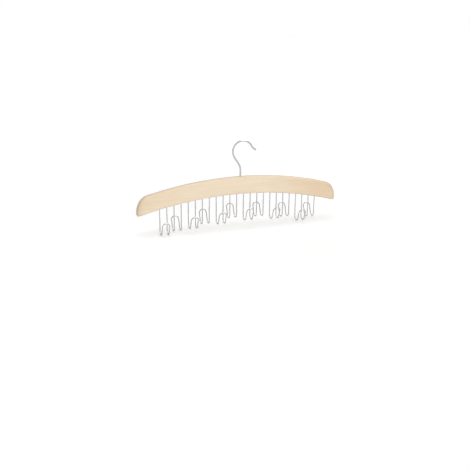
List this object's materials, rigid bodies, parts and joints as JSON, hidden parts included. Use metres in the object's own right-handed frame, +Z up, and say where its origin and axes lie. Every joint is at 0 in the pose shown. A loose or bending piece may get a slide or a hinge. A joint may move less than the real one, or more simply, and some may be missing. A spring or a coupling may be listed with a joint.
{
  "type": "belt hanger",
  "caption": "Arched wooden bar with a swivelling wire hook on top and bent-wire belt hooks along its underside, facing front and back in turn.",
  "frame": {"origin": "on the swivel axis of the hook, level with the inner side of the loop's top, where a wardrobe rail bears", "axes": "+Z up, +X along the bar towards the hook's open tip, +Y to the back"},
  "size_m": [0.44, 0.0478, 0.1836],
  "materials": {
    "wood": "clear satin lacquer on pale beech",
    "hook_wire": "bright chrome plating",
    "belt_hook_wire": "bright chrome plating",
    "washer": "plain zinc-plated steel"
  },
  "bodies": {
    "hook": {"swivel_hook": "hook_wire"},
    "hanger": {"wooden_bar": "wood", "hook_washer": "washer", "belt_hook_front_1": "belt_hook_wire", "belt_hook_back_1": "belt_hook_wire", "belt_hook_front_2": "belt_hook_wire", "belt_hook_back_2": "belt_hook_wire", "belt_hook_front_3": "belt_hook_wire", "belt_hook_back_3": "belt_hook_wire", "belt_hook_front_4": "belt_hook_wire", "belt_hook_back_4": "belt_hook_wire", "belt_hook_front_5": "belt_hook_wire", "belt_hook_back_5": "belt_hook_wire", "belt_hook_front_6": "belt_hook_wire", "belt_hook_back_6": "belt_hook_wire"}
  },
  "joints": [
    {"name": "hook_swivel", "type": "hinge", "parent": "hook", "child": "hanger", "pos_m": [0, 0, -0.0715], "axis": [0, 0, 1], "continuous": true}
  ]
}
